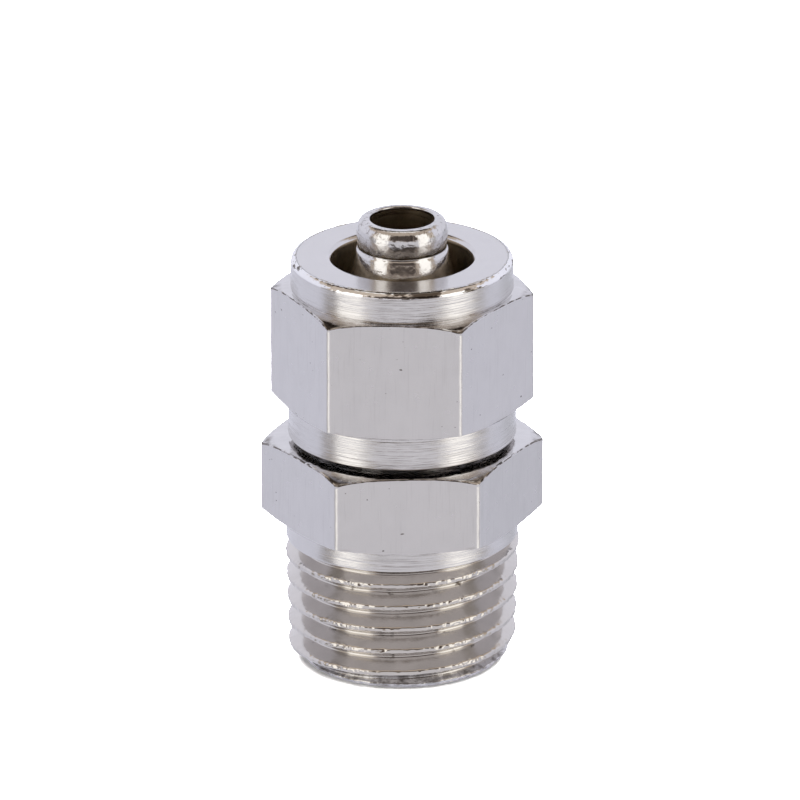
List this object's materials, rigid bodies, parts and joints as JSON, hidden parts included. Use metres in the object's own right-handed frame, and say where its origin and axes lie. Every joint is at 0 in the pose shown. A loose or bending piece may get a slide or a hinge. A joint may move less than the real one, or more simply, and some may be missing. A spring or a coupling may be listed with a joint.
{
  "type": "push-on fitting with union nut",
  "caption": "Straight male tube fitting: taper pipe thread, hexagon body with a tapered spigot, and a union nut that clamps plastic tube on it.",
  "frame": {"origin": "centre of the flat end face of the taper thread", "axes": "+Z along the thread axis towards the spigot and nut, -Y out of one flat of the body hexagon, +X across its corners"},
  "size_m": [0.0162, 0.014, 0.0263],
  "materials": {
    "body_plating": "nickel plated, turned and drawn surfaces, satin to bright",
    "nut_plating": "nickel plated, turned and drawn surfaces, satin to bright"
  },
  "bodies": {
    "fitting_body": {"male_body": "body_plating"},
    "nut": {"union_nut": "nut_plating"}
  },
  "joints": [
    {"name": "nut_travel", "type": "slide", "parent": "fitting_body", "child": "nut", "axis": [0, 0, 1], "range_m": [-0.0002, 0.014]}
  ]
}
